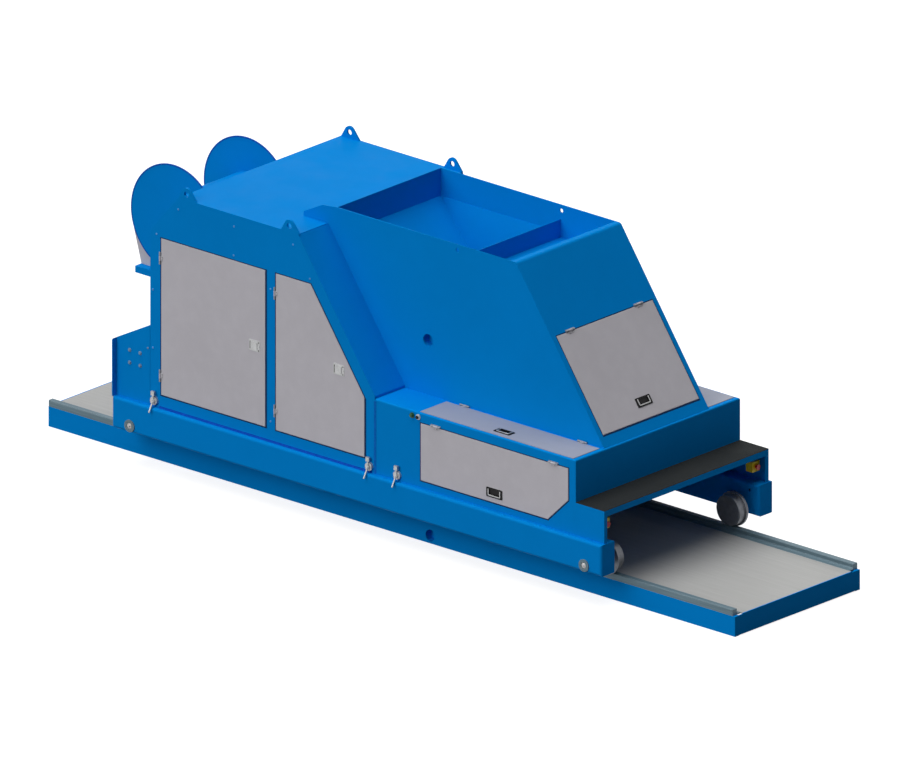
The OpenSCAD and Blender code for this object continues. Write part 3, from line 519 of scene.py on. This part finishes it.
def add_hinge_screws():
    """Two countersunk screws on each door and hatch leaf."""
    leaf, apart = DOOR_Y + 0.003, (-0.011, 0.011)
    for side, s in SIDES:
        for door, outline in (("rear_door", REAR_DOOR), ("front_door", FRONT_DOOR)):
            x = outline[0][0] + 0.008
            shapes = [(countersunk_screw(), to_place(on_side(s, x, leaf, z + dz), (0, s, 0)))
                      for z in DOOR_HINGES_Z for dz in apart]
            piece("%s_hinge_screws_%s" % (door, side), joined(shapes), "wheel_steel", "%s_%s" % (door, side))
        shapes = [(countersunk_screw(), to_place(on_side(s, x + dx, leaf, 0.960), (0, s, 0)))
                  for x in LOCKER_HINGES_X for dx in apart]
        piece("side_hatch_hinge_screws_" + side, joined(shapes), "wheel_steel", "side_hatch_" + side)
        shapes = [(countersunk_screw(), to_place((x + dx, s * 0.574, LOCKER_TOP + 0.005), (0, 0, 1)))
                  for x in LOCKER_HINGES_X for dx in apart]
        piece("top_lid_hinge_screws_" + side, joined(shapes), "wheel_steel", "top_lid_" + side)
    shapes = [(countersunk_screw(), to_place(RIM + DOWN * 0.593 + OUT * 0.005 + Vector((0, y + dy, 0)), OUT))
              for y in FRONT_HATCH_HINGES_Y for dy in apart]
    piece("front_hatch_hinge_screws", joined(shapes), "wheel_steel", "front_hatch")


def add_push_button_caps():
    """Green start cap with a sleeve over its steel ring, and dark stop cap."""
    for side, s in SIDES:
        for name, x, finish in (("start", 0.377, "green_plastic"), ("stop", 0.434, "black_plastic")):
            cap = turned([(0, 0.006), (0.009, 0.0055), (0.0118, 0.004), (0.0128, 0.0015), (0.0128, 0), (0, 0)])
            place = to_place(on_side(s, x, SKIN_Y + 0.016, 1.010), (0, s, 0))
            shapes = [(cap, place)]
            if name == "start":
                sleeve = turned([(0.0130, 0.0002), (0.0148, 0.0002), (0.0148, -0.0092), (0.0205, -0.0096),
                                 (0.0205, -0.0158), (0.0202, -0.0158), (0.0202, -0.0098), (0.0142, -0.0094),
                                 (0.0142, -0.0002), (0.0130, 0.0002)])
                shapes.append((sleeve, place))
            piece("%s_cap_%s" % (name, side), joined(shapes), finish, "machine")


def add_clamp_nuts():
    """Lock nut of each lever clamp and the collar under its lever's head."""
    for side, s in SIDES:
        shapes = []
        for x in CLAMPS:
            shapes.append((hex_bolt(0.019, 0.007, 0.0135), to_place(on_side(s, x, SKIN_Y + 0.030, 0.529), (0, s, 0))))
            collar = turned([(0.0058, -0.004), (0.0085, -0.0035), (0.009, 0), (0.0085, 0.0035), (0.0058, 0.004),
                             (0.0058, -0.004)], 24)
            shapes.append((collar, Matrix.Translation(on_side(s, x, SKIN_Y + 0.022, 0.564))))
        piece("clamp_nuts_" + side, joined(shapes), "fitting_steel", "machine")


# Painted shade strips and beads, side walls and hole cups

def shade_strip(name, outline, widths, place):
    """A dark strip round the opening of a door or hatch: painted shadow of its gap."""
    clear, thick = 0.0012, 0.0006
    shape = ring(grown(outline, [clear] * len(outline)), grown(outline, widths), thick)
    piece(name, joined([(shape, place)]), "dark_rubber", "machine")


def add_shade_strips():
    """Dark strips round every door and hatch opening, widest on the latch side: painted shadow of the gaps."""
    top, side, latch, foot = 0.0080, 0.0100, 0.0165, 0.0100
    openings = (("rear_door", REAR_DOOR, (foot, latch, top, side)),
                ("front_door", FRONT_DOOR, (foot, latch, side, top, side)),
                ("side_hatch", SIDE_HATCH, (foot, side, side, top, side)))
    proud = 0.0001
    for side_name, s in SIDES:
        for name, outline, widths in openings:
            shade_strip("%s_edging_%s" % (name, side_name), outline, widths, upright(s, 0, SKIN_Y + proud, 0))
    # The front hatch's strip of painted shadow lies on the slope, with its y axis up along it from the rim
    low, high, half = -1.3461, -0.5851, 0.4975
    hatch_foot, hatch_side = 0.0130, 0.0070
    shade_strip("front_hatch_shade_strip", [(-half, low), (half, low), (half, high), (-half, high)],
           (hatch_foot, hatch_side, top, hatch_side), framed((0, 1, 0), -DOWN, OUT, RIM + OUT * proud))


def add_shade_beads():
    """Dark blue beads in the corner between each cabinet and the beam, and on its seam with the locker: painted shade
    of the joints.
    """
    corner_l, seam_l = 1.985, 0.541
    for side, s in SIDES:
        bead = slab([(0.0002, 0.0002), (0.019, 0.0002), (0.017, 0.0022), (0.0022, 0.0185), (0.0002, 0.0205)], corner_l)
        place = framed((0, s, 0), (0, 0, 1), (1, 0, 0), on_side(s, -corner_l, SKIN_Y, BEAM_TOP))
        piece("joint_bead_" + side, joined([(bead, place)]), "blue_sealant", "machine")
        seam = slab([(0.0170, 0), (0.0405, 0), (0.0360, 0.0016), (0.0285, 0.0022), (0.0210, 0.0016)], seam_l)
        place = framed((1, 0, 0), (0, s, 0), (0, 0, 1), on_side(s, 0, SKIN_Y + 0.0001, BEAM_TOP + 0.003))
        piece("seam_bead_" + side, joined([(seam, place)]), "seam_sealant", "machine")


def add_core_walls():
    """The two full side walls; only the right one keeps its gusset behind the hopper."""
    bm = bmesh.new()
    bm.from_mesh(frame["nodes"]["side_walls"].data)
    bmesh.ops.remove_doubles(bm, verts=bm.verts, dist=SAME)
    bmesh.ops.dissolve_limit(bm, angle_limit=0.001, verts=bm.verts, edges=bm.edges)

    def left_faces(test):
        return [f for f in bm.faces if all(v.co.y > 0 and test(v.co) for v in f.verts)]

    def cut(faces, point, normal):
        geom = list({x for f in faces for x in (*f.verts, *f.edges)}) + faces
        bmesh.ops.bisect_plane(bm, geom=geom, dist=SAME, plane_co=point, plane_no=normal)

    def behind(co):
        return co.x < HOPPER_REAR + NEAR

    cut(left_faces(lambda co: True), (HOPPER_REAR, 0, 0), (1, 0, 0))
    cut(left_faces(behind), (0, 0, ROOF_Z), (0, 0, 1))
    gusset = left_faces(lambda co: behind(co) and co.z > ROOF_Z - NEAR)
    bmesh.ops.delete(bm, geom=gusset, context="FACES")

    # Close the wall again with two flat faces, on the roof and behind the hopper
    open_edges = [e for e in bm.edges if e.is_boundary]
    corner = [v for v in {v for e in open_edges for v in e.verts}
              if abs(v.co.x - HOPPER_REAR) < NEAR and abs(v.co.z - ROOF_Z) < NEAR]
    open_edges.append(bm.edges.new(corner))
    for flat in (lambda co: abs(co.z - ROOF_Z) < NEAR, lambda co: abs(co.x - HOPPER_REAR) < NEAR):
        bmesh.ops.contextual_create(bm, geom=[e for e in open_edges if all(flat(v.co) for v in e.verts)])
    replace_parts(piece("core_side_walls", bm, "blue_paint", "machine"), "side_walls")


def add_hole_cups():
    """Shallow cup behind the round hole of each side wall."""
    outer, inner, lip, back, floor = 0.0475, 0.0445, -0.010, -0.062, -0.059
    for side, s in SIDES:
        cup = turned([(outer, lip), (outer, back), (0, back), (0, floor), (inner, floor), (inner, lip), (outer, lip)],
                     40)
        piece("hole_cup_" + side, joined([(cup, to_place(on_side(s, 0.245, WALL_Y, 1.447), (0, s, 0)))]),
              "blue_paint", "machine")


def add_reel_shade_strip():
    """A darker blue strip on the rim of both reel discs: painted shade along their outlines."""
    shapes = []
    for s in (-1, 1):
        edge = turned([(0.3930, -0.0056), (0.4020, -0.0056), (0.4034, -0.0042), (0.4034, 0.0002), (0.4020, 0.0016),
                       (0.3930, 0.0016), (0.3930, 0.0001), (0.4003, 0.0001), (0.4003, -0.0041), (0.3930, -0.0041),
                       (0.3930, -0.0056)], 96)
        shapes.append((edge, to_place(on_side(s, -2.276, 0.381, 1.684), (0, s, 0))))
    piece("reel_shade_strip", joined(shapes), "blue_edging", "cable_reel")


# Studio

def white_to(tree, rays, plain, seen):
    """A mix of two shaders: the second for these kinds of ray, the first for all others."""
    path = tree.nodes.new("ShaderNodeLightPath")
    chosen = path.outputs[rays[0]]
    for ray in rays[1:]:
        either = tree.nodes.new("ShaderNodeMath")
        either.operation = "MAXIMUM"
        tree.links.new(chosen, either.inputs[0])
        tree.links.new(path.outputs[ray], either.inputs[1])
        chosen = either.outputs[0]
    both = tree.nodes.new("ShaderNodeMixShader")
    tree.links.new(chosen, both.inputs[0])
    tree.links.new(plain, both.inputs[1])
    tree.links.new(seen, both.inputs[2])
    return both.outputs[0]


def grey(level):
    return (level, level, level, 1)


def add_floor():
    """Pale floor: white to the camera, and dim to the object, so that it lends no colour from below."""
    mesh = bpy.data.meshes.new("floor")
    bm = bmesh.new()
    bmesh.ops.create_grid(bm, x_segments=1, y_segments=1, size=60)
    bm.to_mesh(mesh)
    bm.free()
    floor = bpy.data.objects.new("floor", mesh)
    floor.location.z = -0.0008
    bpy.context.scene.collection.objects.link(floor)
    material = bpy.data.materials.new("floor")
    material.use_nodes = True
    tree = material.node_tree
    tree.nodes.clear()
    out = tree.nodes.new("ShaderNodeOutputMaterial")
    glow = tree.nodes.new("ShaderNodeEmission")
    glow.inputs["Strength"].default_value = 0.8
    lit = tree.nodes.new("ShaderNodeBsdfDiffuse")
    lit.inputs["Color"].default_value = grey(0.45)
    dim = tree.nodes.new("ShaderNodeBsdfDiffuse")
    dim.inputs["Color"].default_value = grey(0.12)
    seen = tree.nodes.new("ShaderNodeAddShader")
    tree.links.new(glow.outputs[0], seen.inputs[0])
    tree.links.new(lit.outputs[0], seen.inputs[1])
    mixed = white_to(tree, ("Is Camera Ray", "Is Glossy Ray"), dim.outputs[0], seen.outputs[0])
    tree.links.new(mixed, out.inputs["Surface"])
    mesh.materials.append(material)


def add_light():
    """Three large soft lamps, from above and from both sides, and an even dim sky that looks white."""
    for name, way, energy, angle in (("top_light", (-0.1, -0.1, 1), 2.05, 60),
                                     ("side_light", (-0.2, -0.95, 0.5), 1.32, 40),
                                     ("back_light", (-0.45, 0.9, 0.16), 0.95, 40)):
        data = bpy.data.lights.new(name, "SUN")
        data.energy = energy
        data.angle = math.radians(angle)
        lamp = bpy.data.objects.new(name, data)
        lamp.rotation_euler = Vector(way).to_track_quat("Z", "Y").to_euler()
        lamp.visible_glossy = name != "back_light"
        bpy.context.scene.collection.objects.link(lamp)
    world = bpy.data.worlds.new("sky")
    bpy.context.scene.world = world
    world.use_nodes = True
    tree = world.node_tree
    tree.nodes.clear()
    out = tree.nodes.new("ShaderNodeOutputWorld")
    dim = tree.nodes.new("ShaderNodeBackground")
    dim.inputs["Color"].default_value = (0.94, 0.97, 1, 1)
    dim.inputs["Strength"].default_value = 0.09
    white = tree.nodes.new("ShaderNodeBackground")
    white.inputs["Color"].default_value = grey(1)
    white.inputs["Strength"].default_value = 1.0
    mixed = white_to(tree, ("Is Camera Ray", "Is Glossy Ray", "Is Transmission Ray"), dim.outputs[0],
                     white.outputs[0])
    tree.links.new(mixed, out.inputs["Surface"])


finishes = make_materials()
slots = {row["node"]: row["material_slot"] for row in frame["record"]["subparts"]}
for name, node in frame["nodes"].items():
    node.data.materials.clear()
    node.data.materials.append(finishes["hinge_steel" if name == "panel_hinges" else slots[name]])

add_camera()
add_floor()
add_light()
add_cabinet_screws()
add_rear_plate_bolts()
add_axle_caps()
add_latch_details()
add_bails()
add_hinge_screws()
add_push_button_caps()
add_clamp_nuts()
add_shade_strips()
add_shade_beads()
add_core_walls()
add_hole_cups()
add_reel_shade_strip()

bpy.context.scene.view_settings.view_transform = "Standard"
